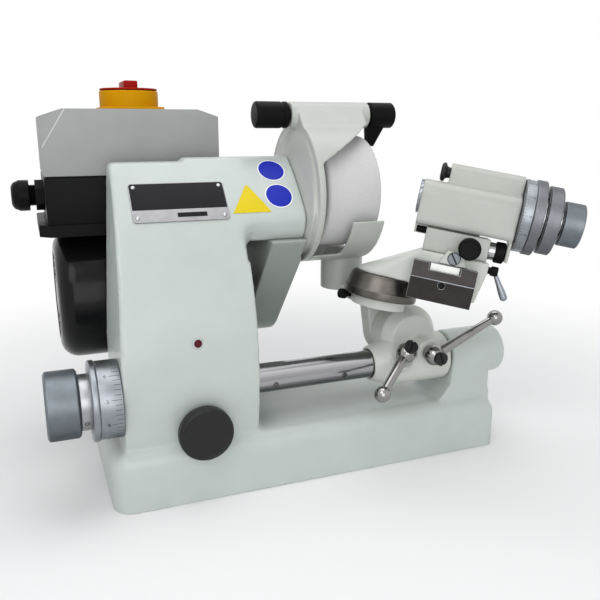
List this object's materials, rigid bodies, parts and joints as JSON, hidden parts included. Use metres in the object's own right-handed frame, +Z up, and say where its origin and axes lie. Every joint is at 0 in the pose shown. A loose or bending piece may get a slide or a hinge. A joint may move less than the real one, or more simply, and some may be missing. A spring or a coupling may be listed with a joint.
{
  "type": "tool and cutter grinder",
  "caption": "Bench grinder for single-lip cutters: cast frame, belt-driven cup wheel under a hood, and an indexing work head that swings on a slide bar",
  "frame": {"origin": "on the base's underside, in its middle but for the 4 mm toe at the right end", "axes": "+X along the slide bar to the operator's right, +Y to the back, +Z up"},
  "size_m": [0.4493, 0.2909, 0.336],
  "materials": {
    "casting_paint": "hammered enamel",
    "black_paint": "satin",
    "box_grey": "satin",
    "black_plastic": "satin",
    "knurled_steel": "satin",
    "bright_steel": "polished",
    "blued_steel": "blued",
    "bronze": "turned",
    "belt_rubber": "matte",
    "abrasive": "rough",
    "yellow": "gloss",
    "red": "gloss",
    "blue": "gloss",
    "sign_yellow": "gloss",
    "plate_black": "printed",
    "scale_white": "engraved"
  },
  "bodies": {
    "frame": {"base_casting": "casting_paint", "wheel_guard": "casting_paint", "dust_chute": "casting_paint", "ball_bearings": "knurled_steel", "drive_belt": "belt_rubber", "belt_guard": "casting_paint", "motor_plate": "black_paint", "motor_body": "black_paint", "fan_cover": "black_paint", "terminal_base": "black_plastic", "switch_cover": "box_grey", "cable_gland": "black_plastic", "switch_plate": "yellow", "name_plate": "plate_black", "plate_screws": "bright_steel", "sign_discs": "blue", "sign_triangle": "sign_yellow", "pilot_lens": "red", "plain_bushes": "bronze"},
    "rotor": {"motor_rotor": "knurled_steel", "cooling_fan": "black_plastic", "motor_pulley": "knurled_steel"},
    "spindle": {"wheel_spindle": "bright_steel", "spindle_pulley": "knurled_steel", "grinding_wheel": "abrasive", "wheel_nut": "knurled_steel"},
    "switch": {"switch_handle": "red"},
    "infeed": {"infeed_knob": "knurled_steel", "infeed_dial": "bright_steel", "feed_screw": "knurled_steel"},
    "bar": {"slide_bar": "bright_steel"},
    "lock": {"lock_knob": "black_plastic"},
    "sleeve": {"bracket_bush": "bronze"},
    "bracket": {"swing_bracket": "casting_paint", "clamp_studs": "black_plastic"},
    "left_handle": {"lever_left": "bright_steel"},
    "right_handle": {"lever_right": "bright_steel"},
    "post": {"swivel_post": "casting_paint"},
    "table_lock": {"table_knob": "black_plastic"},
    "table": {"turntable": "knurled_steel", "head_arm": "casting_paint", "carriage": "casting_paint", "dovetail_rail": "blued_steel", "rail_scale": "scale_white", "pointer_plate": "casting_paint", "pointer_screw": "knurled_steel", "stop_barrel": "knurled_steel"},
    "feed": {"feed_knob": "black_plastic"},
    "stop": {"stop_nut": "black_plastic"},
    "clip": {"clip_lever": "bright_steel"},
    "headstock": {"spindle_housing": "casting_paint"},
    "work": {"work_spindle": "knurled_steel", "index_ring": "bright_steel", "hand_ring": "knurled_steel"},
    "drawbar": {"drawbar_knob": "knurled_steel"},
    "plunger": {"index_plunger": "black_plastic"},
    "dresser_tube": {"dresser_sleeve": "bronze"},
    "dresser": {"dresser_knob": "black_plastic", "dresser_arm": "black_plastic"}
  },
  "joints": [
    {"name": "motor_spin", "type": "hinge", "parent": "frame", "child": "rotor", "pos_m": [0, 0.083, 0.145], "axis": [1, 0, 0], "continuous": true},
    {"name": "spindle_spin", "type": "hinge", "parent": "frame", "child": "spindle", "pos_m": [0, 0.012, 0.238], "axis": [1, 0, 0], "continuous": true},
    {"name": "switch_turn", "type": "hinge", "parent": "frame", "child": "switch", "pos_m": [-0.1235, 0.084, 0.3], "axis": [0, 0, 1], "range_deg": [0, 90]},
    {"name": "infeed_turn", "type": "hinge", "parent": "frame", "child": "infeed", "pos_m": [0, -0.052, 0.0885], "axis": [1, 0, 0], "range_deg": [-1440, 0]},
    {"name": "bar_slide", "type": "slide", "parent": "frame", "child": "bar", "axis": [1, 0, 0], "range_m": [-0.004, 0]},
    {"name": "lock_turn", "type": "hinge", "parent": "frame", "child": "lock", "pos_m": [-0.1025, -0.08, 0.0615], "axis": [0, 1, 0], "range_deg": [-90, 90]},
    {"name": "sleeve_slide", "type": "slide", "parent": "bar", "child": "sleeve", "axis": [1, 0, 0], "range_m": [-0.02, 0]},
    {"name": "bracket_swing", "type": "hinge", "parent": "sleeve", "child": "bracket", "pos_m": [0, -0.052, 0.0885], "axis": [1, 0, 0], "range_deg": [-4, 30]},
    {"name": "lever_left_turn", "type": "hinge", "parent": "bracket", "child": "left_handle", "pos_m": [0.08, -0.05766, 0.08284], "axis": [0, -0.7071, 0.7071], "range_deg": [-20, 20]},
    {"name": "lever_right_turn", "type": "hinge", "parent": "bracket", "child": "right_handle", "pos_m": [0.104, -0.086, 0.101], "axis": [0, 1, 0], "range_deg": [0, 35]},
    {"name": "post_tilt", "type": "hinge", "parent": "bracket", "child": "post", "pos_m": [0.098, -0.03, 0.11], "axis": [0, 1, 0], "range_deg": [-6, 12]},
    {"name": "table_knob_turn", "type": "hinge", "parent": "post", "child": "table_lock", "pos_m": [0.06506, -0.038, 0.1462], "axis": [0.9781, 0, -0.2079], "range_deg": [-90, 90]},
    {"name": "table_turn", "type": "hinge", "parent": "post", "child": "table", "pos_m": [0.066, -0.052, 0.1506], "axis": [0.2079, 0, 0.9781], "range_deg": [-40, 33]},
    {"name": "head_slide", "type": "slide", "parent": "table", "child": "headstock", "axis": [0.8203, -0.5446, -0.1744], "range_m": [0, 0.008]},
    {"name": "feed_knob_turn", "type": "hinge", "parent": "table", "child": "feed", "pos_m": [0.13138, -0.0874, 0.196], "axis": [0.5327, 0.8387, -0.1132], "range_deg": [0, 57.3]},
    {"name": "stop_nut_turn", "type": "hinge", "parent": "table", "child": "stop", "pos_m": [0.07427, -0.05829, 0.20916], "axis": [0.8203, -0.5446, -0.1744], "range_deg": [-180, 180]},
    {"name": "clip_lever_turn", "type": "hinge", "parent": "table", "child": "clip", "pos_m": [0.06802, -0.0629, 0.19413], "axis": [0.8203, -0.5446, -0.1744], "range_deg": [-30, 30]},
    {"name": "work_spindle_turn", "type": "hinge", "parent": "headstock", "child": "work", "pos_m": [0.08534, -0.052, 0.24157], "axis": [0.8203, -0.5446, -0.1744], "continuous": true},
    {"name": "drawbar_turn", "type": "hinge", "parent": "work", "child": "drawbar", "pos_m": [0.08534, -0.052, 0.24157], "axis": [0.8203, -0.5446, -0.1744], "range_deg": [-180, 180]},
    {"name": "plunger_pull", "type": "slide", "parent": "headstock", "child": "plunger", "axis": [-0.8203, 0.5446, 0.1744], "range_m": [0, 0.006], "stiffness_N_per_m": 300, "springref_m": -0.004},
    {"name": "dresser_feed", "type": "slide", "parent": "frame", "child": "dresser_tube", "axis": [1, 0, 0], "range_m": [-0.001, 0.001]},
    {"name": "dresser_swing", "type": "hinge", "parent": "dresser_tube", "child": "dresser", "pos_m": [0, 0.012, 0.3065], "axis": [1, 0, 0], "range_deg": [-35, 35]}
  ],
  "couplings": [
    {"joint": "spindle_spin", "follows": "motor_spin", "ratio": 1.875},
    {"joint": "bar_slide", "follows": "infeed_turn", "m_per_rad": 0.00015915},
    {"joint": "feed_knob_turn", "follows": "head_slide", "rad_per_m": 125}
  ]
}
